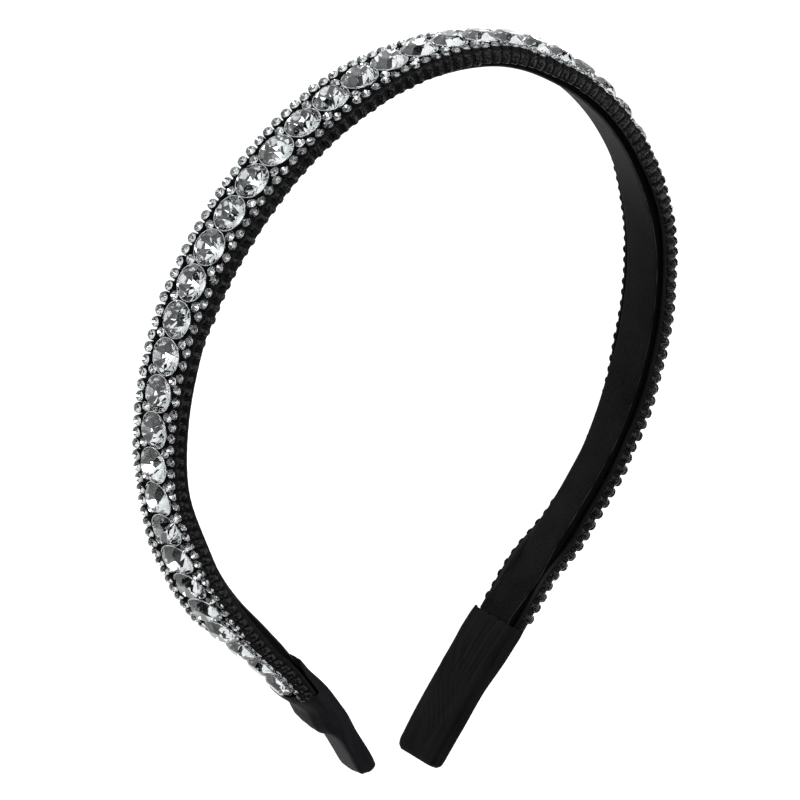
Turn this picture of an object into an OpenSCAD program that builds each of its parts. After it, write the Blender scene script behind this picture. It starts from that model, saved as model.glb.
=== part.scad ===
// Rhinestone headband lying on its back edge: the hoop is in the XY plane and the
// width of the band stands along Z. The crown is at +Y and the two ends at -Y.
// Heights v are measured outward from the lining face that lies on the head, and
// offsets u across the band from its middle, with the front edge at +u.

/* [Hoop] */
// Radius of the lining over the crown
crown_r = 52; // [48:0.5:56]
// Turn of the crown arc to each side, in degrees
crown_turn = 30; // [26:1:34]
// Radius of the lining down the sides
side_r = 60; // [57:0.5:63]
// Turn of each side arc, in degrees
side_turn = 103.5; // [100:0.5:106]
// Radius of the outward flare of the right end
flare_r_right = 290; // [260:5:320]
// Length of the right flare along the lining
flare_len_right = 57.7; // [56.5:0.1:58.5]
// Radius of the outward flare of the left end
flare_r_left = 205; // [190:5:230]
// Length of the left flare along the lining
flare_len_left = 49.7; // [49:0.1:51]
// Width of the satin covered band
band_w = 8; // [7:0.1:8.2]
// Thickness of the satin covered band
band_t = 1.8; // [1.6:0.1:2]

/* [Trim] */
// Width of the black trim base between its two outer rows
trim_w = 10.3; // [10.2:0.1:10.4]
// Height of the face that carries the stones
trim_top = 3.55; // [3.5:0.05:3.6]
// How far the edges of the trim hang down beside the band
lip_drop = 0.4; // [0.2:0.1:0.6]

/* [Main stones] */
// Distance between neighbouring main stones, at their girdle
stone_pitch = 7.16; // [7.14:0.01:7.18]
// Diameter of a main stone at its girdle
stone_d = 7.05; // [6.8:0.05:7.1]
// Diameter of the flat table of a main stone
table_d = 4; // [3.6:0.1:4.4]
// Height of a main stone from its foil base to its table
stone_h = 2.25; // [2:0.05:2.3]
// Main stones to each side of the one at the crown
stones_each_side = 23; // [20:1:23]

/* [Small stones] */
// Diameter of the small clear stone in each gap between main stones
gap_d = 1.85; // [1.6:0.05:1.9]
// Distance from the middle of the band to the gap stones
gap_u = 3.05; // [3.05:0.01:3.1]
// Height of a gap stone
gap_h = 1.15; // [1:0.05:1.3]
// Distance from the middle of the band to the rows of clear edge stones
edge_u = 4.95; // [4.95:0.01:5]
// Width of a row of clear edge stones
edge_w = 1.65; // [1.5:0.05:1.7]
// Height of a row of clear edge stones
edge_h = 0.8; // [0.7:0.05:0.9]

/* [Black outer rows] */
// Thickness of a black outer row across the band
black_w = 1.05; // [0.9:0.05:1.1]
// Height up to which it is widest, and from which it slants inward
black_rim = 2.7; // [2.5:0.05:2.9]

/* [End sleeves] */
// Thickness of the wound ribbon
ribbon_t = 1; // [1:0.05:1.1]
// Length of the right sleeve, measured along the lining from its mouth to the tip
sleeve_len_right = 30.7; // [30.5:0.1:31.2]
// Length of the left sleeve, measured the same way
sleeve_len_left = 26.5; // [26:0.1:27]

/* [Hidden] */

// The stones are spaced at the height of the main girdles.
girdle_v = 4.35;
seat_gap = 0.02;
row_gap = 0.06;
corner_r = 0.55;
// Each further arc of the band is drawn in by a hair, and laps into the arc before it.
hair = 0.02;
lap = 0.4;
trim_lip_v = band_t - lip_drop;
black_out_u = trim_w / 2 + row_gap + black_w;
// Height of the middle of the band above the surface that it lies on
mid_z = black_out_u;
arc_fn = 240;
flare_fn = 720;
rad = 180 / PI;

// Centres of the arcs, before the hoop is moved to its origin. The crown point is at y = 0.
function outward(turn) = [sin(turn), cos(turn)];
crown_c = [0, -crown_r];
side_c = crown_c + (crown_r - side_r) * outward(crown_turn);
flare_turn = crown_turn + side_turn;
side_end = side_c + side_r * outward(flare_turn);
function flare_c(flare_r) = side_end + flare_r * outward(flare_turn);
function tip_turn(flare_r, len) = flare_turn - rad * len / flare_r;
tip_top = band_t + ribbon_t + 0.1;
right_tip = flare_c(flare_r_right)
    - (flare_r_right - tip_top) * outward(tip_turn(flare_r_right, flare_len_right));
// The crown stone's table is the highest point along Y, and the right tip the lowest.
top_y = trim_top + seat_gap + stone_h;
origin_y = -(top_y + right_tip.y) / 2;

// Where a place along the hoop lies: d is its distance from the crown at height v0,
// negative to the left. The result is its turn from +Y and the arc that it is on.
crown_rad = crown_turn / rad;
side_rad = side_turn / rad;
function flare_radius(d) = d < 0 ? flare_r_left : flare_r_right;
function on_crown(d, v0) = abs(d) <= (crown_r + v0) * crown_rad;
function past_crown(d, v0) = abs(d) - (crown_r + v0) * crown_rad;
function past_side(d, v0) = past_crown(d, v0) - (side_r + v0) * side_rad;
function turn_at(d, v0) =
    on_crown(d, v0) ? rad * abs(d) / (crown_r + v0)
    : past_side(d, v0) <= 0 ? crown_turn + rad * past_crown(d, v0) / (side_r + v0)
    : flare_turn - rad * past_side(d, v0) / (flare_radius(d) - v0);
function half_point(d, v0, v, turn) =
    on_crown(d, v0) ? crown_c + (crown_r + v) * outward(turn)
    : past_side(d, v0) <= 0 ? side_c + (side_r + v) * outward(turn)
    : flare_c(flare_radius(d)) - (flare_radius(d) - v) * outward(turn);
function side_sign(d) = d < 0 ? -1 : 1;
// The point of the hoop at distance d, height v and offset u
function hoop_point(d, v0, v, u) =
    let (p = half_point(d, v0, v, turn_at(d, v0)))
    [side_sign(d) * p.x, p.y + origin_y, mid_z + u];

// The trim and its rows end at the mouths of the sleeves.
arcs_len = crown_r * crown_rad + side_r * side_rad;
sleeve_mouth_right = arcs_len + flare_len_right - sleeve_len_right;
sleeve_mouth_left = arcs_len + flare_len_left - sleeve_len_left;
row_end_right = sleeve_mouth_right - row_gap;
row_end_left = -(sleeve_mouth_left - row_gap);

// Closed skin over a list of rings with the same number of points each. A ring runs
// counter-clockwise, seen from where the list of rings is going.
function ring_sides(rings, n) = [
    for (i = [0:rings - 2], j = [0:n - 1])
    let (a = i * n + j, b = i * n + (j + 1) % n)
    each [[a, a + n, b + n], [a, b + n, b]]
];
function fan(points) = [for (k = [1:len(points) - 2]) [points[0], points[k], points[k + 1]]];
function from_to(first, last) = [for (j = [first:last]) j];
function backward(list) = [for (i = [len(list) - 1:-1:0]) list[i]];
function flat_list(lists) = [for (one = lists) each one];
module skin(rings) {
    n = len(rings[0]);
    last = (len(rings) - 1) * n;
    faces = concat(ring_sides(len(rings), n),
                   [from_to(0, n - 1)], [backward(from_to(last, last + n - 1))]);
    polyhedron(flat_list(rings), faces, convexity = 10);
}

// Band and trim: one cross section carried along the crown, the sides and the flares.
// The section is a child whose shape shrinks by $inset.
module along_arc(centre, radius, from_turn, to_turn) {
    translate([centre.x, centre.y + origin_y, mid_z])
        rotate([0, 0, 90 - to_turn])
            rotate_extrude(angle = to_turn - from_turn, $fn = arc_fn)
                translate([radius, 0])
                    children();
}
module along_flare(flare_r, end_turn) {
    centre = flare_c(flare_r);
    lap_turn = rad * lap / flare_r;
    translate([centre.x, centre.y + origin_y, mid_z])
        rotate([0, 0, 270 - flare_turn - lap_turn])
            rotate_extrude(angle = flare_turn + lap_turn - end_turn, $fn = flare_fn)
                translate([flare_r, 0])
                    mirror([1, 0])
                        children();
}
module along_hoop(right_end_turn, left_end_turn) {
    lap_turn = rad * lap / side_r;
    along_arc(crown_c, crown_r, -crown_turn, crown_turn, $inset = 0) children();
    along_arc(side_c, side_r, crown_turn - lap_turn, flare_turn, $inset = hair) children();
    along_flare(flare_r_right, right_end_turn, $inset = 2 * hair) children();
    mirror([1, 0, 0]) {
        along_arc(side_c, side_r, crown_turn - lap_turn, flare_turn, $inset = hair) children();
        along_flare(flare_r_left, left_end_turn, $inset = 2 * hair) children();
    }
}
module band_section() {
    half = band_w / 2 - $inset;
    flat_u = half - corner_r;
    translate([$inset, -flat_u]) square([band_t - 2 * $inset, 2 * flat_u]);
    translate([$inset + corner_r, -half]) square([band_t - 2 * $inset - 2 * corner_r, 2 * half]);
    for (v = [$inset + corner_r, band_t - $inset - corner_r], u = [-flat_u, flat_u])
        translate([v, u]) circle(r = corner_r, $fn = 24);
}
module hoop_band() {
    color("#26262a")
        along_hoop(tip_turn(flare_r_right, flare_len_right - ribbon_t - row_gap),
                   tip_turn(flare_r_left, flare_len_left - ribbon_t - row_gap))
            band_section();
}

half_trim = trim_w / 2;
lip_u = band_w / 2 + 0.3;
edge_round = 0.15;
module trim_section() {
    low = band_t + seat_gap + $inset;
    lip = trim_lip_v + $inset;
    top = trim_top - $inset;
    side = half_trim - $inset;
    polygon([
        [low, -lip_u], [lip, -lip_u - lip_drop], [lip, -side],
        [top - edge_round, -side], [top, -side + edge_round],
        [top, side - edge_round], [top - edge_round, side],
        [lip, side], [lip, lip_u + lip_drop], [low, lip_u]
    ]);
}
module trim_base() {
    color("#111113")
        along_hoop(turn_at(row_end_right, 0), turn_at(row_end_left, 0))
            trim_section();
}

// A cut stone stands on z = 0, with its table up: rows of [radius, height].
module cut_stone(profile, sides) {
    skin([for (row = profile) [for (j = [0:sides - 1])
        row[0] * [cos((j + 0.5) * 360 / sides), sin((j + 0.5) * 360 / sides), 0] + [0, 0, row[1]]]]);
}
// Places a stone with its base on the trim and its table facing outward
module on_trim(d, u) {
    p = hoop_point(d, girdle_v, trim_top + seat_gap, u);
    translate(p)
        rotate([0, 0, -side_sign(d) * turn_at(d, girdle_v)])
            rotate([-90, 0, 0])
                children();
}
main_sides = 10;
main_profile = [
    [0.38 * stone_d, 0], [stone_d / 2, 0.27 * stone_h],
    [stone_d / 2, 0.42 * stone_h], [table_d / 2, stone_h]
];
module main_stones(first, last) {
    color("#dfe3e8")
        for (k = [first:last])
            on_trim(k * stone_pitch, 0)
                cut_stone(main_profile, main_sides);
}

gap_sides = 8;
gap_profile = [[gap_d / 2, 0], [gap_d / 2, 0.5 * gap_h], [0.28 * gap_d, gap_h]];
module gap_stones(side) {
    color("#d4d8dd")
        for (k = [1:stones_each_side], way = [-1, 1])
            on_trim(way * (k - 0.5) * stone_pitch, side * gap_u)
                cut_stone(gap_profile, gap_sides);
}

// The outer rows: rings of [v, u] swept from one sleeve to the other
row_rings = 70;
module edge_row(section, side) {
    wound = side > 0 ? backward(section) : section;
    skin([for (i = [0:row_rings - 1])
        let (d = row_end_left + (row_end_right - row_end_left) * i / (row_rings - 1))
        [for (p = wound) hoop_point(d, 0, p[0], side * p[1])]]);
}
edge_base = trim_top + 2 * row_gap;
edge_half = edge_w / 2;
edge_section = [
    [edge_base, edge_u - 0.55 * edge_half], [edge_base, edge_u + 0.55 * edge_half],
    [edge_base + 0.3 * edge_h, edge_u + edge_half], [edge_base + 0.6 * edge_h, edge_u + edge_half],
    [edge_base + edge_h, edge_u + 0.5 * edge_half], [edge_base + edge_h, edge_u - 0.5 * edge_half],
    [edge_base + 0.6 * edge_h, edge_u - edge_half], [edge_base + 0.3 * edge_h, edge_u - edge_half]
];
black_in_u = half_trim + row_gap;
black_top_v = trim_top + 0.05;
black_section = [
    [trim_lip_v, black_in_u + 0.1], [trim_lip_v, black_out_u - 0.25],
    [trim_lip_v + 0.5, black_out_u], [black_rim, black_out_u],
    [(black_rim + black_top_v) / 2, black_out_u - 0.17], [black_top_v, black_out_u - 0.6],
    [black_top_v, black_in_u], [trim_lip_v + 0.1, black_in_u]
];
module edge_stones(side) {
    color("#cfd3d8") edge_row(edge_section, side);
}
module black_stones(side) {
    color("#1b1b1e") edge_row(black_section, side);
}

// A skin that is open at its first ring and hollow inside
module hollow_skin(outer, inner) {
    n = len(outer[0]);
    inner_first = len(outer) * n;
    inner_end = inner_first + len(inner) * n - 1;
    mouth = [for (j = [0:n - 1])
        let (b = (j + 1) % n)
        each [[j, b, inner_first + b], [j, inner_first + b, inner_first + j]]];
    inner_sides = [for (face = ring_sides(len(inner), n)) backward([for (i = face) i + inner_first])];
    outer_cap = fan(backward(from_to(inner_first - n, inner_first - 1)));
    inner_cap = fan(from_to(inner_end - n + 1, inner_end));
    polyhedron(concat(flat_list(outer), flat_list(inner)),
               concat(ring_sides(len(outer), n), mouth, inner_sides, outer_cap, inner_cap),
               convexity = 10);
}

// Sleeve profile along its length: [distance from the mouth, half width, height of the
// shoulders, height of the top, half width of the flat top]. It swells twice after its
// mouth and then sinks to the flat end.
bump_rows = [
    [0, 6.22, 2.8, 5.7, 2.9], [1.2, 6.22, 2.8, 5.9, 2.9], [3.2, 6.2, 2.7, 5.5, 2.9],
    [5.2, 6.15, 2.5, 5.1, 2.9], [7, 6.1, 2.5, 5.25, 2.9], [8.6, 6.05, 2.4, 5.3, 2.9],
    [10.8, 5.95, 2.2, 4.8, 3], [12.8, 5.85, 2.1, 3.9, 3.2], [14.8, 5.7, 2, 3.2, 3.4],
    [17, 5.5, 1.9, 2.95, 3.6]
];
// The same for the flat end, with distances from the tip
tip_rows = [[6, 5.3, 1.8, 2.95, 3.6], [ribbon_t, 5.2, 1.8, tip_top, 3.6], [0, 4.7, 1.6, tip_top, 3.4]];
function sleeve_rows(length) = concat(
    bump_rows, [for (row = tip_rows) [length - row[0], row[1], row[2], row[3], row[4]]]);
sleeve_low = -ribbon_t - 0.5 * row_gap;
// A closed cross section of [v, u] points, drawn in by t for the inside of the cloth
function sleeve_ring(row, t) =
    let (w = row[1] - t, shoulder = row[2] - 0.5 * t, top = row[3] - t, flat = row[4] - 0.4 * t,
         low = sleeve_low + t,
         half = [[low, w - 0.8 + 0.6 * t], [low + 0.9 - 0.5 * t, w], [shoulder, w],
                 [(shoulder + top) / 2 + 0.15, (w + flat) / 2 + 0.25], [top, flat]])
    concat([[low - 0.03, 0]], half, [[top + 0.08, 0]], [for (p = backward(half)) [p[0], -p[1]]]);
module end_sleeve(way, mouth_d, length) {
    rows = sleeve_rows(length);
    outer = [for (row = rows)
        [for (p = sleeve_ring(row, 0)) hoop_point(way * (mouth_d + row[0]), 0, p[0], -way * p[1])]];
    // The mouth is bevelled. The cloth closes over the tip, so the hollow stops a row before it.
    inner = [for (i = [0:len(rows) - 2])
        [for (p = sleeve_ring(rows[i], ribbon_t))
            hoop_point(way * (mouth_d + max(0.3, rows[i][0])), 0, p[0], -way * p[1])]];
    color("#1d1d20") hollow_skin(outer, inner);
}

hoop_band();
trim_base();
main_stones(-stones_each_side, -1);  // main_stones_left
main_stones(0, stones_each_side);  // main_stones_right
gap_stones(1);  // gap_stones_front
gap_stones(-1);  // gap_stones_back
edge_stones(1);  // edge_stones_front
edge_stones(-1);  // edge_stones_back
black_stones(1);  // black_stones_front
black_stones(-1);  // black_stones_back
end_sleeve(-1, sleeve_mouth_left, sleeve_len_left);  // end_sleeve_left
end_sleeve(1, sleeve_mouth_right, sleeve_len_right);  // end_sleeve_right
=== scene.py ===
import math

import bmesh
import bpy
import numpy as np
from mathutils import Matrix, Vector


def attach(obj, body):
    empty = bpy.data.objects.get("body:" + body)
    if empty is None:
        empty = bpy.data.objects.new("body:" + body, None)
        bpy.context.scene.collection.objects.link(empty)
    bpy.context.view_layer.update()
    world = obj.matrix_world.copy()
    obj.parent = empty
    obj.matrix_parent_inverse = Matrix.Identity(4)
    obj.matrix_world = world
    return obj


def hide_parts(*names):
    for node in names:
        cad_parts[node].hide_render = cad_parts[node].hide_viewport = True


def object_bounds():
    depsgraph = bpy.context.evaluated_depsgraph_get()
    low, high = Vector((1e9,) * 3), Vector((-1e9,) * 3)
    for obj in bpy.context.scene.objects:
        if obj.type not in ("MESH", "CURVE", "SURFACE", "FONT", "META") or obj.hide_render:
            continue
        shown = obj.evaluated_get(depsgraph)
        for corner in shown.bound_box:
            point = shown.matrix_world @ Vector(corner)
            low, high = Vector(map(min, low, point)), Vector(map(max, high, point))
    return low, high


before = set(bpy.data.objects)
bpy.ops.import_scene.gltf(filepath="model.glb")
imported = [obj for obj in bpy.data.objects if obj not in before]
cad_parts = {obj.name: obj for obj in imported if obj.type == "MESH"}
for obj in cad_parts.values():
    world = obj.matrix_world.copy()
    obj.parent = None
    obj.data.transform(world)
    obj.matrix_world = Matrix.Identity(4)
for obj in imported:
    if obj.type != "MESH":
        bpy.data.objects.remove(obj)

cad_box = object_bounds()
scene = bpy.context.scene
MM = 0.001

# Sizes as in the part's source, in millimetres. -1 is the left leg and 1 the right one.
CROWN_R, SIDE_R = 52.0, 60.0
CROWN_TURN, SIDE_TURN = math.radians(30), math.radians(103.5)
FLARE_R = {-1: 205.0, 1: 290.0}
FLARE_LEN = {-1: 49.7, 1: 57.7}
SLEEVE_LEN = {-1: 26.5, 1: 30.7}
BAND_T = 1.8
TRIM_TOP = 3.55
HALF_TRIM = 5.15
GIRDLE_V = 4.35
TABLE_V = 5.82
PITCH = 7.16
ARCS_LEN = CROWN_R * CROWN_TURN + SIDE_R * SIDE_TURN
MOUTH = {way: ARCS_LEN + FLARE_LEN[way] - SLEEVE_LEN[way] for way in (-1, 1)}
# The crown stone's table is the highest point along Y, and the band stands on its back edge.
ORIGIN_Y = cad_box[1][1] / MM - TABLE_V
MID_Z = cad_box[1][2] / MM / 2
FLOOR_GAP = 0.01


def out_dir(turn):
    return np.stack([np.sin(turn), np.cos(turn)], -1)


CROWN_C = np.array([0, -CROWN_R])
SIDE_C = CROWN_C + (CROWN_R - SIDE_R) * out_dir(CROWN_TURN)
FLARE_TURN = CROWN_TURN + SIDE_TURN
SIDE_END = SIDE_C + SIDE_R * out_dir(FLARE_TURN)


def hoop_turn(d, v0=0.0):
    """Turn from +Y at distance d from the crown, which arc it is on, and the radius of its flare.

    The distance is measured along the hoop at height v0."""
    far = np.abs(np.asarray(d, float))
    flare_r = np.where(np.asarray(d) < 0, FLARE_R[-1], FLARE_R[1])
    past_crown = far - (CROWN_R + v0) * CROWN_TURN
    past_side = past_crown - (SIDE_R + v0) * SIDE_TURN
    turn = np.where(past_crown <= 0, far / (CROWN_R + v0), CROWN_TURN + past_crown / (SIDE_R + v0))
    turn = np.where(past_side > 0, FLARE_TURN - past_side / (flare_r - v0), turn)
    arc = np.where(past_crown <= 0, 0, np.where(past_side <= 0, 1, 2))
    return turn, arc, flare_r


def ease(x):
    x = np.clip(x, 0.0, 1.0)
    return x * x * (3 - 2 * x)


# Twist of the band: distance from the crown and degrees, above 0 where the front edge leans outward
TWIST = {
    -1: [(0, 8), (24, 0), (104, 0), (122, -13), (138, -13), (155, 0), (160, 0), (174, 8)],
    1: [(0, 8), (12, 9), (34, -4), (64, -5), (84, 3), (112, 3), (132, -8), (144, -8), (157, 0)],
}
# How far each leg bows outward of the arcs: distance from the crown and outward shift
BOW = {
    -1: [(0, -0.3), (22, 0), (48, 0), (74, 0.6), (98, 0.6), (116, 0), (132, 0), (142, 0.4), (152, 0.4),
         (160, 0)],
    1: [(0, -0.3), (26, 0), (84, 0), (100, -0.3), (112, -0.3), (128, 0.6), (140, 1.1), (151, 1.4),
        (162, -0.2), (170, 0)],
}


def along_table(table, d):
    """Value of a table of (distance, value) at a distance from the crown, smooth between its rows"""
    far = np.abs(np.asarray(d, float))
    value = np.full(far.shape, float(table[0][1]))
    for (a, before), (b, after) in zip(table, table[1:]):
        value = value + (after - before) * ease((far - a) / (b - a))
    return value


def by_side(tables, d):
    return np.where(np.asarray(d, float) < 0, along_table(tables[-1], d), along_table(tables[1], d))


def twist(d):
    return np.radians(by_side(TWIST, d))


def on_hoop(d, v, u, v0=0.0):
    """Points at distance d from the crown, height v above the lining and offset u across the band.

    d is below 0 on the left leg and measured at height v0, and u is above 0 towards the front edge. The
    points are twisted and bowed with the band and kept above the floor."""
    d, v, u = np.broadcast_arrays(*(np.asarray(x, float) for x in (d, v, u)))
    phi = twist(d)
    v, u = (BAND_T + (v - BAND_T) * np.cos(phi) + u * np.sin(phi) + by_side(BOW, d),
            u * np.cos(phi) - (v - BAND_T) * np.sin(phi))
    u = np.maximum(u, FLOOR_GAP - MID_Z)
    turn, arc, flare_r = hoop_turn(d, v0)
    out = out_dir(turn)
    flare_c = SIDE_END + flare_r[..., None] * out_dir(np.array(FLARE_TURN))
    half = np.where((arc == 0)[..., None], CROWN_C + (CROWN_R + v)[..., None] * out,
                    np.where((arc == 1)[..., None], SIDE_C + (SIDE_R + v)[..., None] * out,
                             flare_c - (flare_r - v)[..., None] * out))
    side = np.where(d < 0, -1.0, 1.0)
    return np.stack([side * half[..., 0], half[..., 1] + ORIGIN_Y, MID_Z + u], -1)


def hoop_frame(d):
    """Axes at a stone's place on the hoop, as columns: across the band, along the hoop, outward"""
    turn, phi = float(hoop_turn(d, GIRDLE_V)[0]), float(twist(d))
    side = -1 if d < 0 else 1
    outward = Vector((side * math.sin(turn), math.cos(turn), 0))
    along = Vector((math.cos(turn), -side * math.sin(turn), 0))
    front = Vector((0, 0, 1))
    return Matrix((front * math.cos(phi) + outward * math.sin(phi), along,
                   outward * math.cos(phi) - front * math.sin(phi))).transposed()


def girdle_distance(way, past_mouth=0.0):
    """Distance at girdle height of a place on a flare, given from the sleeve's mouth along the lining"""
    past_side = MOUTH[way] + past_mouth - ARCS_LEN
    arcs = (CROWN_R + GIRDLE_V) * CROWN_TURN + (SIDE_R + GIRDLE_V) * SIDE_TURN
    return arcs + past_side * (1 - GIRDLE_V / FLARE_R[way])


# Shader maths as expressions
class Wire:
    """A socket of a node tree, with arithmetic that adds Math nodes"""

    def __init__(self, tree, socket):
        self.tree, self.socket = tree, socket

    def math(self, operation, *values):
        return add_node(self.tree, "ShaderNodeMath", {"operation": operation}, dict(enumerate(values)))

    def __add__(self, other):
        return self.math("ADD", self, other)

    def __radd__(self, other):
        return self.math("ADD", other, self)

    def __sub__(self, other):
        return self.math("SUBTRACT", self, other)

    def __rsub__(self, other):
        return self.math("SUBTRACT", other, self)

    def __mul__(self, other):
        return self.math("MULTIPLY", self, other)

    def __rmul__(self, other):
        return self.math("MULTIPLY", other, self)


def add_node(tree, kind, settings=None, values=None, output=0):
    """Adds a node: its settings first, then the values or links of its sockets. Returns one output."""
    node = tree.nodes.new(kind)
    for key, value in (settings or {}).items():
        setattr(node, key, value)
    for key, value in (values or {}).items():
        socket = node.inputs[key]
        if isinstance(value, Wire):
            tree.links.new(value.socket, socket)
        elif isinstance(value, tuple) and len(value) == 3 and len(socket.default_value) == 4:
            socket.default_value = (*value, 1)
        else:
            socket.default_value = value
    return Wire(tree, node.outputs[output])


class Finish:
    """A material: one Principled shader and what feeds it"""

    def __init__(self, name, **constants):
        self.material = bpy.data.materials.new(name)
        self.material.use_nodes = True
        self.tree = self.material.node_tree
        self.shader = self.tree.nodes["Principled BSDF"]
        for key, value in constants.items():
            socket = self.shader.inputs[key.replace("_", " ")]
            socket.default_value = (*value, 1) if isinstance(value, tuple) else value

    def node(self, kind, settings=None, values=None, output=0):
        return add_node(self.tree, kind, settings, values, output)

    def place(self, scale=1.0):
        """Object coordinates in millimetres, times scale"""
        coords = self.node("ShaderNodeTexCoord", output=3)
        return self.node("ShaderNodeVectorMath", {"operation": "SCALE"}, {0: coords, "Scale": scale / MM})

    def cloth_place(self):
        """Distance along the piece and around it, in millimetres"""
        return self.node("ShaderNodeUVMap", {"uv_map": "cloth"})

    def noise(self, scale, detail, rough=0.5, vector=None):
        """Cloudy noise, over the object's own coordinates unless a vector is given"""
        return self.node("ShaderNodeTexNoise", None, {"Vector": self.place() if vector is None else vector,
                                                      "Scale": scale, "Detail": detail, "Roughness": rough})

    def bands(self, direction, scale, distortion, detail):
        return self.node("ShaderNodeTexWave", {"wave_type": "BANDS", "bands_direction": direction},
                         {"Vector": self.cloth_place(), "Scale": scale, "Distortion": distortion,
                          "Detail": detail})

    def feed(self, socket, wire):
        self.tree.links.new(wire.socket, self.shader.inputs[socket])

    def colour(self, factor, dark, light):
        self.feed("Base Color", self.node("ShaderNodeMix", {"data_type": "RGBA"},
                                          {"Factor": factor, 6: dark, 7: light}, output=2))

    def bump(self, height, depth):
        """Relief with its full depth in millimetres"""
        self.feed("Normal", self.node("ShaderNodeBump", None,
                                      {"Height": height, "Distance": depth * MM, "Strength": 1.0}))


def clear_crystal():
    return Finish("clear_crystal", Base_Color=(0.88, 0.90, 0.905), Roughness=0.0, IOR=1.58,
                  Transmission_Weight=1.0)


def foil(name, dark, light):
    """Silvered back of a clear stone, with cloudy spots"""
    silvering = Finish(name, Metallic=1.0, Roughness=0.05)
    silvering.colour((silvering.noise(0.8, 3.0) - 0.35) * 2.2, dark, light)
    return silvering


def silver_rim():
    rim = Finish("silver_rim", Metallic=1.0)
    wear = rim.noise(1.4, 3.0)
    rim.colour((wear - 0.3) * 2.0, (0.45, 0.45, 0.46), (0.85, 0.85, 0.85))
    rim.feed("Roughness", 0.15 + 0.2 * wear)
    return rim


def black_stone_glaze():
    glaze = Finish("black_stone", Specular_IOR_Level=0.2)
    cloud = glaze.noise(2.0, 3.0)
    glaze.colour((cloud - 0.3) * 2.2, (0.001, 0.001, 0.0012), (0.009, 0.009, 0.0095))
    glaze.feed("Roughness", 0.12 + 0.3 * cloud)
    glaze.bump(cloud, 0.2)
    return glaze


def trim_moulding():
    moulding = Finish("trim_black", Specular_IOR_Level=0.08)
    grain = moulding.noise(3.0, 4.0, 0.6)
    moulding.colour(grain, (0.003, 0.003, 0.0033), (0.009, 0.009, 0.0098))
    moulding.feed("Roughness", 0.42 + 0.25 * grain)
    moulding.bump(grain, 0.06)
    return moulding


def row_wall():
    wall = Finish("row_wall", Specular_IOR_Level=0.05)
    grain = wall.noise(2.6, 4.0, 0.6)
    wall.colour(grain, (0.0012, 0.0012, 0.0014), (0.005, 0.005, 0.0055))
    wall.feed("Roughness", 0.4 + 0.3 * grain)
    wall.bump(grain, 0.08)
    return wall


def band_side():
    side = Finish("band_side", Roughness=0.8, Specular_IOR_Level=0.03)
    side.colour(side.noise(2.0, 2.0), (0.0015, 0.0015, 0.0017), (0.005, 0.005, 0.0055))
    return side


def black_satin():
    satin = Finish("black_satin", Specular_IOR_Level=0.03)
    threads = satin.bands("X", 1.4, 1.2, 2.0)
    soft, fine = satin.noise(0.16, 2.0), satin.noise(2.4, 3.0)
    satin.colour((0.4 * soft + 0.6 * fine - 0.35) * 3.3, (0.0004, 0.0004, 0.0006), (0.0068, 0.0068, 0.0076))
    satin.feed("Roughness", 0.42 + 0.2 * fine)
    satin.bump(0.3 * threads + 0.7 * fine, 0.06)
    return satin


def satin_fold_highlight():
    """Folded edge of the satin, painted paler as a highlight, patchy along its length"""
    fold = Finish("satin_fold_highlight", Roughness=0.5, Specular_IOR_Level=0.1)
    fold.colour((fold.noise(0.35, 3.0) - 0.3) * 2.2, (0.003, 0.003, 0.0035), (0.04, 0.04, 0.042))
    return fold


def ribbed_ribbon(name, pale):
    """Ribbed ribbon. pale multiplies its colours, which paints light onto a paler copy."""
    ribbon = Finish(name, Specular_IOR_Level=0.04, Sheen_Weight=0.003, Sheen_Roughness=0.4,
                    Sheen_Tint=(0.8, 0.8, 0.85))
    stretched = ribbon.node("ShaderNodeMapping", {"vector_type": "POINT"},
                            {"Vector": ribbon.cloth_place(), "Scale": (0.12, 0.6, 1.0)})
    drift, fine = ribbon.noise(1.0, 3.0, vector=stretched), ribbon.noise(4.0, 3.0)
    ribs = ribbon.bands("Y", 0.9, 1.0, 1.0)
    ribbon.colour((0.6 * drift + 0.4 * fine - 0.3) * 2.4, (0.0018 * pale, 0.0018 * pale, 0.0022 * pale),
                  (0.0076 * pale, 0.0076 * pale, 0.0088 * pale))
    ribbon.feed("Roughness", 0.5 + 0.2 * fine)
    ribbon.bump(0.4 * ribs + 0.5 * drift + 0.25 * fine, 0.06)
    return ribbon


def pale_floor():
    floor = Finish("pale_floor", Roughness=0.9, Specular_IOR_Level=0.1, Emission_Color=(1.0, 1.0, 1.0),
                   Emission_Strength=0.9)
    tone = floor.noise(1.0, 2.0, vector=floor.place(0.02))
    floor.colour(tone, (0.49, 0.49, 0.495), (0.51, 0.51, 0.515))
    return floor


# The left sleeve's ribbon is a paler copy of the ribbon, painted light for the brighter light that falls on
# it.
FINISH = {
    "crystal": clear_crystal(),
    "silver_foil": foil("silver_foil", (0.62, 0.64, 0.65), (0.88, 0.89, 0.89)),
    # A darker copy of the silver foil, painted shade for the front row's stones
    "shaded_foil": foil("shaded_foil", (0.25, 0.255, 0.26), (0.7, 0.71, 0.72)),
    "rim": silver_rim(),
    "black_stone": black_stone_glaze(),
    "trim": trim_moulding(),
    "row_wall": row_wall(),
    "band_side": band_side(),
    "satin": black_satin(),
    "satin_fold_highlight": satin_fold_highlight(),
    "ribbon": ribbed_ribbon("ribbed_ribbon", 1.0),
    "lit_ribbon": ribbed_ribbon("ribbed_ribbon_lit", 2.0),
    "floor": pale_floor(),
}


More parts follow.
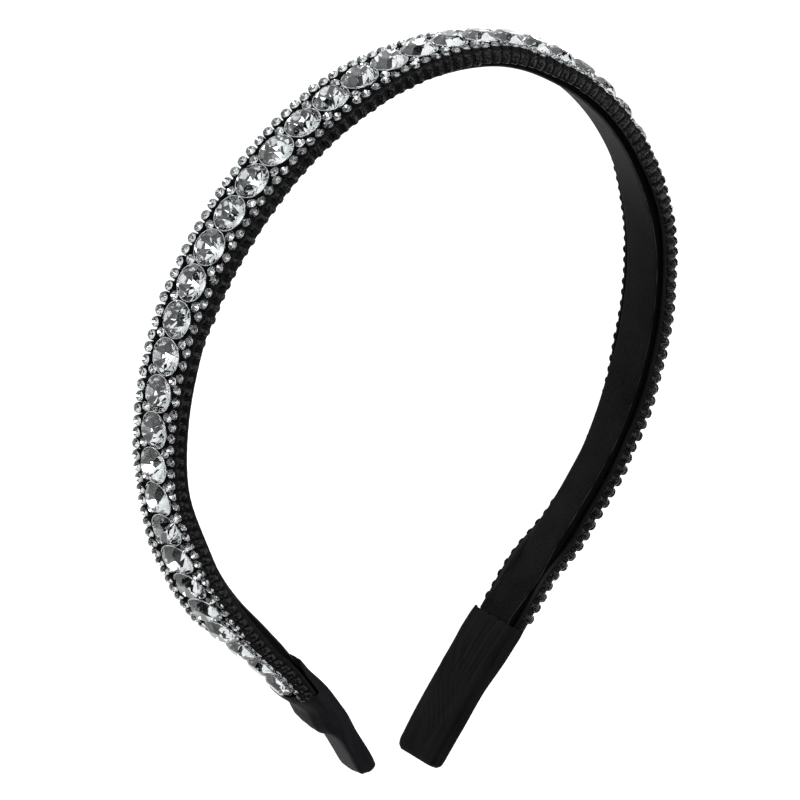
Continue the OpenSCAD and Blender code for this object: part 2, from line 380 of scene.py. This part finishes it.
def make_piece(name, points, faces, finishes, face_finish=0, smooth=False, cloth=None):
    """A mesh object from points in millimetres.

    face_finish and smooth are one value, or one for each face. cloth is each point's place on the cloth."""
    mesh = bpy.data.meshes.new(name)
    mesh.from_pydata((np.asarray(points) * MM).tolist(), [], [list(map(int, f)) for f in faces])
    for finish in finishes:
        mesh.materials.append(FINISH[finish].material)
    mesh.polygons.foreach_set("material_index", np.full(len(faces), face_finish, np.int32))
    mesh.polygons.foreach_set("use_smooth", np.full(len(faces), smooth, bool))
    if cloth is not None:
        layer = mesh.uv_layers.new(name="cloth")
        corner = np.zeros(len(mesh.loops), np.int32)
        mesh.loops.foreach_get("vertex_index", corner)
        layer.data.foreach_set("uv", np.asarray(cloth, np.float32)[corner].ravel())
    mesh.update()
    piece = bpy.data.objects.new(name, mesh)
    scene.collection.objects.link(piece)
    return piece


def hand_over(piece, slot, *nodes):
    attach(piece, "root")
    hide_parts(*nodes)


class Form:
    """Points and faces, with the finish of each face and whether it is smooth, gathered part by part"""

    def __init__(self):
        self.points, self.faces, self.finish, self.smooth, self.count = [], [], [], [], 0

    def add(self, points, faces, finish=0, smooth=False):
        self.points.append(points)
        self.faces += [[i + self.count for i in face] for face in faces]
        self.finish += list(finish) if np.ndim(finish) else [finish] * len(faces)
        self.smooth += [smooth] * len(faces)
        self.count += len(points)

    def add_rows(self, rows, flip=False, finish=0, smooth=False, closed=False):
        faces = grid_faces(len(rows), len(rows[0]), closed)
        self.add(np.concatenate(rows), [f[::-1] for f in faces] if flip else faces, finish, smooth)

    def make(self, name, finishes):
        return make_piece(name, np.concatenate(self.points), self.faces, finishes, self.finish, self.smooth)


def grid_faces(rows, columns, closed=False):
    """Quads of a grid of points. closed joins the last column to the first."""
    wide = columns if closed else columns - 1
    return [[i * columns + j, i * columns + (j + 1) % columns,
             (i + 1) * columns + (j + 1) % columns, (i + 1) * columns + j]
            for i in range(rows - 1) for j in range(wide)]


def turned(profile, sides):
    """Points and faces of a profile of (radius, height) turned round the third axis"""
    angle = np.arange(sides) * 2 * math.pi / sides
    ring = np.stack([np.cos(angle), np.sin(angle)], -1)
    points = np.concatenate([np.c_[r * ring, np.full(sides, h)] for r, h in profile])
    return points, grid_faces(len(profile), sides, closed=True)


def cut_gem(girdle_r, table_r, crown_h, girdle_h, depth, folds, sides):
    """Points, faces and kinds (0 clear, 1 foil) of a round cut stone. Its girdle starts at height 0."""
    bm = bmesh.new()
    bmesh.ops.create_cone(bm, cap_ends=True, segments=sides, radius1=girdle_r, radius2=girdle_r,
                          depth=crown_h + girdle_h + depth)
    bmesh.ops.translate(bm, vec=(0, 0, (crown_h + girdle_h - depth) / 2), verts=bm.verts)
    tag = bm.faces.layers.int.new("foil")

    def cut(azimuth, slope, through_r, through_h, foil=0):
        down = -1 if foil else 1
        normal = Vector((math.sin(slope) * math.cos(azimuth), math.sin(slope) * math.sin(azimuth),
                         down * math.cos(slope)))
        point = Vector((through_r * math.cos(azimuth), through_r * math.sin(azimuth), through_h))
        result = bmesh.ops.bisect_plane(bm, geom=bm.verts[:] + bm.edges[:] + bm.faces[:], dist=1e-6,
                                        plane_co=point, plane_no=normal, clear_outer=True)
        edges = [e for e in result["geom_cut"] if isinstance(e, bmesh.types.BMEdge)]
        if edges:
            for face in bmesh.ops.edgeloop_fill(bm, edges=edges)["faces"]:
                face[tag] = foil

    # The crown: main facets, halves a little steeper, and flatter stars round the table
    step = 2 * math.pi / folds
    main = math.atan2(crown_h, girdle_r - table_r)
    for k in range(folds):
        cut(k * step, main, girdle_r, girdle_h)
    for k in range(2 * folds):
        cut((k + 0.5) * step / 2, main * 1.14, girdle_r * 1.004, girdle_h)
    for k in range(folds):
        cut((k + 0.5) * step, main * 0.6, table_r * math.cos(step / 2) * 1.005, girdle_h + crown_h)
    # The foiled back: main facets and halves down to a point
    steep = math.atan2(depth, girdle_r)
    for k in range(folds):
        cut(k * step, steep, girdle_r, 0, foil=1)
    for k in range(2 * folds):
        cut((k + 0.5) * step / 2, steep + 0.035, girdle_r * 1.002, 0, foil=1)
    bmesh.ops.recalc_face_normals(bm, faces=bm.faces)
    bm.verts.index_update()
    points = np.array([v.co for v in bm.verts])
    faces = [[v.index for v in f.verts] for f in bm.faces]
    kinds = [f[tag] for f in bm.faces]
    bm.free()
    return points, faces, kinds


rng = np.random.default_rng(47)


def seat(points, d, u, v, lean, spin):
    """Puts points made at the origin onto the hoop, with their third axis outward.

    lean is two small angles, across and along the band."""
    tilt = (Matrix.Rotation(lean[0], 3, "X") @ Matrix.Rotation(lean[1], 3, "Y")
            @ Matrix.Rotation(spin, 3, "Z"))
    points = points @ np.array(hoop_frame(d) @ tilt).T + on_hoop(d, v, u, GIRDLE_V)
    points[:, 2] = np.maximum(points[:, 2], FLOOR_GAP)
    return points


def random_spin():
    return rng.uniform(0, 2 * math.pi)


# Main stones: clear, foiled, each in a black collar with a thin silver rim
MAIN_EACH_SIDE = 23
# The tables stand a little prouder than the solids'.
MAIN_SEAT_V = 4.45
MAIN_LEAN = 0.02
# Columns of the profiles: radius and height
RIM_PROFILE = [(3.30, -0.34), (3.50, -0.22), (3.56, -0.04), (3.565, 0.16), (3.53, 0.24), (3.47, 0.22)]
COLLAR_PROFILE = [(3.50, -0.72), (3.46, -0.5), (3.44, -0.26), (3.2, -0.24)]
MAIN_GEM = cut_gem(girdle_r=3.47, table_r=1.85, crown_h=1.48, girdle_h=0.2, depth=2.3, folds=8, sides=32)
# Columns: points, faces, finish and smoothness of each part of a stone
MAIN_PARTS = [(*MAIN_GEM, False),
              (*turned(RIM_PROFILE, 48), 2, True),
              (*turned(COLLAR_PROFILE, 32), 3, True)]
for name, node, places in (("crystals_left", "main_stones_left", range(-MAIN_EACH_SIDE, 0)),
                           ("crystals_right", "main_stones_right", range(MAIN_EACH_SIDE + 1))):
    form = Form()
    for k in places:
        spin, lean = random_spin(), rng.normal(0, MAIN_LEAN, 2)
        for points, faces, finish, soft in MAIN_PARTS:
            form.add(seat(points, k * PITCH, 0, MAIN_SEAT_V, lean, spin), faces, finish, soft)
    hand_over(form.make(name, ["crystal", "silver_foil", "rim", "trim"]), "clear_stone", node)

# Small stones: clear, foiled, each in a low black cup
SMALL_LEAN = 0.09
# How far a stone strays along the band, across it and outward
STRAY_D, STRAY_U, STRAY_V = 0.05, 0.04, 0.05
CUP_PROFILE = [(1.04, -0.85), (1.03, -0.3), (1.0, -0.08), (0.94, -0.06), (0.9, -0.14)]
SMALL_GEM = cut_gem(girdle_r=0.98, table_r=0.56, crown_h=0.42, girdle_h=0.08, depth=0.6, folds=8, sides=16)
SMALL_PARTS = [(*SMALL_GEM, False),
               (*turned(CUP_PROFILE, 16), 2, True)]


def small_stones(form, places, seat_v):
    for d, u in places:
        spin = random_spin()
        d, u = d + rng.normal(0, STRAY_D), u + rng.normal(0, STRAY_U)
        v = seat_v + rng.normal(0, STRAY_V)
        lean = rng.normal(0, SMALL_LEAN, 2)
        for points, faces, finish, soft in SMALL_PARTS:
            form.add(seat(points, d, u, v, lean, spin), faces, finish, soft)


# Small stones in the gaps between the main ones, and a row of them along each edge
EDGES = (("front", 1), ("back", -1))
GAP_U, GAP_SEAT_V = 3.05, 4.35
# Offset, seat height and foil of the front row, 1, and the back row, -1. The front row's foil is a darker
# copy, painted shade.
EDGE_ROW = {1: (4.58, 4.2, "shaded_foil"), -1: (5.08, 4.62, "silver_foil")}
ROW_STEP = PITCH / 3
# Gaps before the mouths of the sleeves: of the rows' last stones, and of the black walls and the trim bed
STONES_GAP, WALL_GAP = 1.0, 0.1
WALL_END = {way: girdle_distance(way, -WALL_GAP) for way in (-1, 1)}
row_reach = {way: math.floor((girdle_distance(way) - STONES_GAP) / ROW_STEP) for way in (-1, 1)}
row_places = [k * ROW_STEP for k in range(-row_reach[-1], row_reach[1] + 1)]
for name, side in EDGES:
    form = Form()
    small_stones(form, [(way * (k - 0.5) * PITCH, side * GAP_U) for k in range(1, MAIN_EACH_SIDE + 1)
                        for way in (-1, 1)], GAP_SEAT_V)
    hand_over(form.make("gap_crystals_" + name, ["crystal", "silver_foil", "trim"]), "clear_stone",
              "gap_stones_" + name)
    form = Form()
    offset, seat_v, back = EDGE_ROW[side]
    small_stones(form, [(d, side * offset) for d in row_places], seat_v)
    hand_over(form.make("edge_crystals_" + name, ["crystal", back, "trim"]), "clear_stone",
              "edge_stones_" + name)

# Black outer rows: a wall with a row of black stones on it, one beside each edge stone

# Columns: height, offset of the middle and radius of a stone
BLACK_STONE = [(1.4, 5.16, 0.74), (1.5, 5.14, 0.92), (1.8, 5.12, 1.04), (2.5, 5.09, 1.1), (3.0, 5.06, 1.1),
               (3.3, 5.02, 1.05), (3.52, 4.97, 0.94), (3.62, 4.9, 0.7)]
# Columns: height and offset of the wall
WALL = [(3.2, 5.2), (3.2, 5.5), (3.0, 5.64), (2.4, 5.7), (1.75, 5.7), (1.5, 5.66), (1.4, 5.55), (1.4, 5.25)]
# Shift of a row's foot on the left and the right leg: distance from the crown and millimetres
FRONT_FOOT = {-1: [(0, -0.6), (40, -0.4), (68, -0.3), (82, 0.75)], 1: [(0, -0.6), (12, -0.4), (30, 0)]}
BACK_FOOT = {-1: [(0, 0), (1, 0)], 1: [(50, 0), (70, -0.4), (126, -0.4), (140, 0)]}
FOOT = {1: FRONT_FOOT, -1: BACK_FOOT}
# The shift fades out over this span, up to this height.
FOOT_SPAN, FOOT_TOP = 1.6, 3.0
# Where the foot is high, the wall stands out below PLAIN_TOP, by a share of the shift.
PLAIN_TOP, PLAIN_SHARE = 2.6, 0.37


def black_stone(form, d, side):
    angles = np.linspace(-0.5 * math.pi, 0.5 * math.pi, 25)
    facets = 1 + 0.03 * np.cos(angles * 10 + rng.uniform(-1, 1))
    lift, push = rng.normal(0, 0.04, 2)
    foot = by_side(FOOT[side], d) / FOOT_SPAN
    rows = [on_hoop(d + r * facets * np.sin(angles), v + lift + foot * max(FOOT_TOP - v, 0),
                    side * (u + push + r * facets * np.cos(angles)), GIRDLE_V) for v, u, r in BLACK_STONE]
    form.add_rows(rows, side < 0)


def black_wall(form, side):
    along = np.linspace(-WALL_END[-1], WALL_END[1], 900)
    wave = 0.02 * np.cos(along * 2 * math.pi / ROW_STEP) + 0.02 * np.sin(along / 4.1)
    foot = by_side(FOOT[side], along)
    low, plain = np.minimum(foot, 0) / FOOT_SPAN, PLAIN_SHARE * np.maximum(foot, 0)
    rows = [on_hoop(along, v + low * max(FOOT_TOP - v, 0), side * (u + wave + plain * (v < PLAIN_TOP)),
                    GIRDLE_V) for v, u in WALL[::-1]]
    form.add_rows(rows, side > 0, 1, True)


for name, side in EDGES:
    form = Form()
    black_wall(form, side)
    for d in row_places:
        black_stone(form, d, side)
    hand_over(form.make("black_row_" + name, ["black_stone", "row_wall"]), "black_stone",
              "black_stones_" + name)

# Trim bed: a black moulding with a pocket under each main stone
POCKET_R, POCKET_V, POCKET_LIP = 2.95, 1.86, 0.06
POCKET_SIDES = 48
# Columns: height and offset of the moulding's side
TRIM_SIDE = [(TRIM_TOP, HALF_TRIM), (3.45, 5.4), (3.1, 5.55), (1.5, 5.6), (1.4, 5.5), (1.4, 4.6),
             (1.85, 4.3), (1.85, 3.9)]


def trim_pocket(form, middle):
    """The pocket of one stone and the moulding's top round it"""
    angle = (np.arange(POCKET_SIDES) + 0.5) * 2 * math.pi / POCKET_SIDES
    across, along = np.sin(angle), np.cos(angle)
    lip_r = POCKET_R + POCKET_LIP
    reach = np.minimum(HALF_TRIM / np.abs(across), PITCH / 2 / np.abs(along))
    rows = [on_hoop(middle + r * along, v, r * across, GIRDLE_V)
            for r, v in ((POCKET_R, POCKET_V), (POCKET_R, TRIM_TOP - 0.03), (lip_r, TRIM_TOP),
                         ((lip_r + reach) / 2, TRIM_TOP), (reach, TRIM_TOP))]
    form.add_rows(rows, flip=True, closed=True)
    form.add(rows[0], [list(range(POCKET_SIDES))])


def trim_bed():
    form = Form()
    for k in range(-MAIN_EACH_SIDE, MAIN_EACH_SIDE + 1):
        trim_pocket(form, k * PITCH)
    last = (MAIN_EACH_SIDE + 0.5) * PITCH
    for start, stop in ((-WALL_END[-1], -last), (last, WALL_END[1])):
        strip = np.linspace(start, stop, 6)
        form.add_rows([on_hoop(strip, TRIM_TOP, u, GIRDLE_V) for u in (HALF_TRIM, -HALF_TRIM)])
    along = np.linspace(-WALL_END[-1], WALL_END[1], 500)
    for side in (1, -1):
        form.add_rows([on_hoop(along, v, side * u, GIRDLE_V) for v, u in TRIM_SIDE], side < 0)
    return form.make("trim_bed", ["trim"])


hand_over(trim_bed(), "trim", "trim_base")

# Springy band: black sides, and satin over its lining face, with a painted highlight on the fold along the
# front edge
HALF_BAND = 4.0
BAND_END_INSET = 1.1
# The front edge's fold faces carry a painted highlight.
SATIN, SIDE, FOLD_HIGHLIGHT = 0, 1, 2


def satin_cover():
    ends = [way * (ARCS_LEN + FLARE_LEN[way] - BAND_END_INSET) for way in (-1, 1)]
    d = np.linspace(*ends, 900)[:, None]
    half = HALF_BAND
    lining = [(0.0, u) for u in np.linspace(-half + 0.12, half - 0.12, 17)]
    edge = [(0.03, half - 0.03), (0.1, half), (0.3, half - 0.03), (0.34, half - 0.16)]
    core = [(BAND_T - 0.25, half - 0.18), (BAND_T, half - 0.45)]
    section = lining + edge + core + [(v, -u) for v, u in (edge + core)[::-1]]
    kinds = [SATIN] * len(lining) + [FOLD_HIGHLIGHT, FOLD_HIGHLIGHT, SATIN] + [SIDE] * 5 + [SATIN] * 4
    v, u = np.array(section).T
    crowned = 0.10 * (1 - (u / half) ** 2) * (v < 0.01)
    strip = (v < 0.32) * np.sign(u)
    pucker = 0.03 * np.sin(d / 1.7 + 1.3 * np.sin(d / 11.0)) * (np.abs(u) > 3.3)
    slow = 0.05 * np.sin(d / 9.0 + 0.8) * np.sin(d / 23.0)
    points = on_hoop(d, v - crowned, u + strip * (pucker + slow))
    around = np.concatenate([[0], np.cumsum(np.hypot(np.diff(v), np.diff(u)))])
    cloth = np.stack(np.broadcast_arrays(d, around), -1)
    rows, n = len(d), len(section)
    faces = [f[::-1] for f in grid_faces(rows, n, closed=True)]
    faces += [list(range(n)), list(range(rows * n - n, rows * n))[::-1]]
    kinds = kinds * (rows - 1) + [SIDE, SIDE]
    return make_piece("satin_cover", points.reshape(-1, 3), faces, ["satin", "band_side", "satin_fold_highlight"],
                      kinds, [kind == SATIN for kind in kinds], cloth.reshape(-1, 2))


hand_over(satin_cover(), "satin", "hoop_band")


# End sleeves: wound ribbon over the last stones, with folds
def smooth_rows(table, at):
    """Values of a table of rows at places along it, with a smooth course between rows"""
    table = np.array(table, float)
    x, columns = table[:, 0], table[:, 1:]
    k = np.clip(np.searchsorted(x, at) - 1, 0, len(x) - 2)
    slope = np.gradient(columns, x, axis=0)
    h = (x[k + 1] - x[k])[:, None]
    t = ((at - x[k]) / h[:, 0])[:, None]
    a, b = columns[k], columns[k + 1]
    ma, mb = slope[k] * h, slope[k + 1] * h
    return ((2 * t ** 3 - 3 * t ** 2 + 1) * a + (t ** 3 - 2 * t ** 2 + t) * ma
            + (-2 * t ** 3 + 3 * t ** 2) * b + (t ** 3 - t ** 2) * mb)


# Columns: distance from the mouth, front and back half width, low, shoulder and top height, half flat top
SLEEVE_ROWS = {
    -1: [[0, 6.2, 6.2, -0.5, 2.9, 5.75, 2.8], [1.2, 6.2, 6.2, -0.55, 2.9, 5.95, 2.9],
         [3.2, 6.1, 6.2, -0.6, 2.8, 5.5, 2.9], [5.2, 5.95, 6.15, -0.7, 2.6, 5.15, 2.8],
         [7, 5.95, 6.15, -0.8, 2.6, 5.4, 3.1], [8.6, 5.95, 6.2, -0.9, 2.6, 5.6, 3.2],
         [10.6, 5.9, 6.15, -0.95, 2.6, 5.3, 3.2], [12.4, 5.8, 6, -0.9, 2.6, 4.1, 3.8],
         [14.2, 5.65, 5.8, -0.8, 2.6, 3.5, 4.1], [16.5, 5.5, 5.7, -0.7, 2.5, 3.4, 4.2],
         [20, 5.4, 5.65, -0.65, 2.45, 3.4, 4.2], [23, 5.3, 5.65, -0.6, 2.5, 3.45, 4.3],
         [25, 5.15, 5.3, -0.5, 2.6, 3.45, 4.4], [25.9, 5, 5.1, -0.4, 2.6, 3.35, 4.3],
         [26.5, 4.6, 4.8, -0.15, 2.45, 3.1, 4.1]],
    1: [[0, 6.15, 5.5, -0.55, 2.9, 5.6, 2.3], [1.2, 6.15, 5.6, -0.7, 2.9, 5.8, 2.4],
        [3.2, 6.05, 5.65, -0.88, 2.8, 5.4, 2.4], [5.2, 5.95, 5.7, -1, 2.7, 5.1, 2.4],
        [7, 5.8, 5.7, -1, 2.6, 5.2, 2.4], [8.6, 5.65, 5.75, -1, 2.45, 5.2, 2.4],
        [10.8, 5.5, 5.8, -1, 2.2, 4.7, 2.5], [12.8, 5.4, 5.85, -1, 2.1, 3.8, 2.8],
        [14.8, 5.3, 5.95, -1, 2.05, 3.2, 3.2], [17, 5.2, 6, -1.03, 2, 2.95, 3.5],
        [20, 5.1, 6.1, -1.05, 1.95, 2.9, 3.5], [23.5, 4.85, 6.15, -1.1, 1.85, 2.8, 3.5],
        [27.5, 4.6, 6.2, -1.1, 1.7, 2.7, 3.4], [29.3, 4.5, 6.15, -1.1, 1.65, 2.6, 3.2],
        [30.1, 4.3, 5.9, -1, 1.6, 2.4, 3], [30.7, 3.7, 5.3, -0.7, 1.4, 2, 2.6]]}
RING = 120
TIP_LEN = 1.6


def sleeve_outline(front, back, low, shoulder, top, flat):
    """Closed section as RING points of [height, offset] with soft corners, and how far round each one is"""

    def half(wide):
        return np.array([[low, 0], [low, wide - 0.7], [low + 0.2, wide - 0.2], [low + 0.7, wide],
                         [shoulder, wide],
                         [shoulder + 0.5 * (top - shoulder), 0.55 * wide + 0.45 * flat + 0.35],
                         [top - 0.12, flat + 0.1], [top, 0.5 * flat], [top + 0.04, 0]])

    outline = np.concatenate([half(front), half(back)[::-1][1:] * [1, -1]])
    run = np.concatenate([[0], np.cumsum(np.hypot(*np.diff(outline, axis=0).T))])
    spots = np.linspace(0, run[-1], RING + 1)[:-1]
    ring = np.stack([np.interp(spots, run, outline[:, k]) for k in (0, 1)], -1)
    for _ in range(3):
        ring = 0.5 * ring + 0.25 * (np.roll(ring, 1, 0) + np.roll(ring, -1, 0))
    return ring, spots


def ribbon_relief(way, s, around, v, u):
    """Height of the ribbon's folds at distance s from the mouth and distance around the section"""
    # Folds on the lining side: long pulls near the mouth and slanting ones further down
    lining = ease((1.2 - v) / 1.5)
    pulls = np.sin((u + 0.11 * s) * 5.2 + 0.9 * np.sin(0.45 * s + 0.3 * u)) * ease(s / 2.5)
    pulls = pulls * ease((15 - s) / 5) * ease((u + 0.11 * s + 2.2) / 2) * ease((5.6 - u) / 1.5)
    slanting = np.sin((u - 0.7 * (s - 20)) * 4.4 + 0.6 * np.sin(0.5 * s)) * ease((s - 13.5) / 3)
    slanting = slanting * ease((26 - s) / 4) * ease((u + 4.2) / 2) * ease((3.6 - u) / 2)
    # Faint long creases all round
    creases = np.sin(around * 2.6 + 0.12 * s * way + 1.2 * np.sin(s / 5.0)) * ease((s - 1) / 3)
    relief = lining * (0.05 * pulls + 0.045 * slanting) + 0.025 * creases
    return relief * np.clip((SLEEVE_LEN[way] - s) / 2.0, 0.1, 1)


def tongue(way, v, u):
    """How far the ribbon reaches back past the mouth: over the stones and, on the left, over the lining"""
    if way < 0:
        reach = (9.0 * ease((1.5 - v) / 1.2) * (1 - 0.35 * ease((2.0 - u) / 8.0))
                 + ease((v - 2.4) / 1.2) * (1.8 + 1.6 * ease((-u - 2.0) / 1.8)))
    else:
        reach = 3.9 * ease((v - 3.0) / 1.5) * ease((4.6 - np.abs(u)) / 1.2)
    ragged = 0.12 * np.sin(u * 2.3) + 0.08 * np.sin(u * 5.1 + 1)
    return reach + ragged


def end_slant(v, u):
    """How much longer the left end is at its back corner, and shorter at its front one"""
    return 3.4 * np.clip((3.5 - u) / 9, 0, 1) - 0.7 * ease((v - 1.2) / 1.5) * ease((u - 0.5) / 3)


def sleeve(name, way):
    length = SLEEVE_LEN[way]
    tip = length - TIP_LEN * (1 - np.linspace(0.06, 1, 14)) ** 1.6
    at = np.concatenate([np.linspace(0, length - TIP_LEN, 130), tip])
    outlines = [sleeve_outline(*row) for row in smooth_rows(SLEEVE_ROWS[way], at)]
    rings = np.array([ring for ring, _ in outlines])
    s, around = np.repeat(at[:, None], RING, 1), np.array([spots for _, spots in outlines])
    v, u = rings[..., 0], rings[..., 1]
    outward = np.stack([-np.gradient(u, axis=1), np.gradient(v, axis=1)], -1)
    outward /= np.linalg.norm(outward, axis=-1, keepdims=True) + 1e-9
    rings = rings + outward * ribbon_relief(way, s, around, v, u)[..., None]
    v, u = rings[..., 0], rings[..., 1]
    along = s - tongue(way, v[:1], u[:1]) * ease(1 - s / 8.0)
    if way < 0:
        along = along + end_slant(v, u) * ease((s - 18) / 8)
    rows = [on_hoop(way * (MOUTH[way] + along), v, u).reshape(-1, 3)]
    # The turned-in edge at the mouth
    for depth, inset in ((0.0, 0.22), (0.3, 0.55), (2.0, 0.6)):
        ring = rings[0] - outward[0] * inset
        rows.append(on_hoop(way * (MOUTH[way] + along[0] + depth), ring[:, 0], ring[:, 1]))
    n = len(at)
    faces = grid_faces(n, RING, closed=True)
    for outer, inner in ((0, n), (n, n + 1), (n + 1, n + 2)):
        faces += [[outer * RING + j, inner * RING + j, inner * RING + (j + 1) % RING,
                   outer * RING + (j + 1) % RING] for j in range(RING)]
    faces.append([(n - 1) * RING + j for j in range(RING)])
    if way < 0:
        faces = [f[::-1] for f in faces]
    cloth = np.stack([s, around], -1)
    cloth = np.concatenate([cloth.reshape(-1, 2)] + [cloth[0]] * 3)
    # The left sleeve gets the paler ribbon copy, painted light.
    return make_piece(name, np.concatenate(rows), faces, ["lit_ribbon" if way < 0 else "ribbon"],
                      smooth=True, cloth=cloth)


hand_over(sleeve("ribbon_sleeve_left", -1), "ribbon", "end_sleeve_left")
hand_over(sleeve("ribbon_sleeve_right", 1), "ribbon", "end_sleeve_right")

# Floor
FLOOR_HALF = 3000
corners = [(x * FLOOR_HALF, y * FLOOR_HALF, 0) for x, y in ((-1, -1), (1, -1), (1, 1), (-1, 1))]
floor = make_piece("floor", corners, [[0, 1, 2, 3]], ["floor"])

# Camera, at the photograph's angle to the headband
BACK = Vector((-0.57225, 0.45634, 0.68140)).normalized()
DISTANCE, LENS = 1890.58, 456.66
AIM_Y, AIM_RIGHT, AIM_UP = -67.937, -2.113, 0.19
RIGHT_FLAT = Vector((0.76580, 0, 0.64309)).normalized()
ROLL = 0.02532
up_flat = RIGHT_FLAT.cross(-BACK)
image_right = (RIGHT_FLAT * math.cos(ROLL) + up_flat * math.sin(ROLL)).normalized()
image_up = (-RIGHT_FLAT * math.sin(ROLL) + up_flat * math.cos(ROLL)).normalized()
aim = Vector((0, ORIGIN_Y + AIM_Y, MID_Z)) + AIM_RIGHT * image_right + AIM_UP * image_up
camera_data = bpy.data.cameras.new("camera")
camera_data.lens = LENS
camera_data.sensor_width = 36
camera_data.clip_start, camera_data.clip_end = 0.05, 20
camera = bpy.data.objects.new("camera", camera_data)
scene.collection.objects.link(camera)
axes = Matrix((image_right, image_up, BACK)).transposed().to_4x4()
axes.translation = (aim + BACK * DISTANCE) * MM
camera.matrix_world = axes
scene.camera = camera


# Light: a dark room with pale panels, and three soft boxes
def make_studio(base, panels):
    """World light. Each panel is [direction, half angle in degrees, soft edge in degrees, radiance]."""
    world = bpy.data.worlds.new("studio")
    scene.world = world
    world.use_nodes = True
    tree = world.node_tree
    direction = add_node(tree, "ShaderNodeTexCoord")
    light = None
    for toward, half_angle, edge, radiance in panels:
        facing = add_node(tree, "ShaderNodeVectorMath", {"operation": "DOT_PRODUCT"},
                          {0: direction, 1: Vector(toward).normalized()}, output=1)
        inner = math.cos(math.radians(half_angle - edge / 2))
        outer = math.cos(math.radians(half_angle + edge / 2))
        panel = add_node(tree, "ShaderNodeMapRange", {"interpolation_type": "SMOOTHSTEP"},
                         {"Value": facing, "From Min": outer, "From Max": inner,
                          "To Min": 0.0, "To Max": radiance})
        light = panel + base if light is None else light + panel
    tree.links.new(light.socket, tree.nodes["Background"].inputs["Strength"])


make_studio(0.12, [((-0.2, 0.2, 0.96), 26, 16, 1.4),
                   ((-0.9, 0.05, 0.42), 17, 18, 1.7),
                   ((0.8, 0.5, 0.35), 20, 14, 1.2),
                   ((-0.3, -0.9, 0.3), 17, 12, 1.0),
                   ((0.1, 0.95, 0.3), 16, 12, 1.4),
                   ((-0.7, 0.75, 0.12), 11, 8, 1.3)])


def soft_box(name, place, size, power):
    data = bpy.data.lights.new(name, "AREA")
    data.shape, data.size, data.size_y, data.energy = "RECTANGLE", size[0], size[1], power
    lamp = bpy.data.objects.new(name, data)
    scene.collection.objects.link(lamp)
    lamp.location = place
    lamp.rotation_euler = (-Vector(place)).to_track_quat("-Z", "Y").to_euler()


soft_box("key_box", (-0.8, 0.6, 0.75), (0.8, 0.8), 8)
soft_box("top_box", (0.35, 0.5, 1.1), (0.7, 0.4), 6)
soft_box("fill_box", (0.9, -0.6, 0.7), (0.4, 0.6), 4)

scene.view_settings.view_transform = "Standard"
scene.view_settings.look = "None"
scene.view_settings.exposure = 0.18
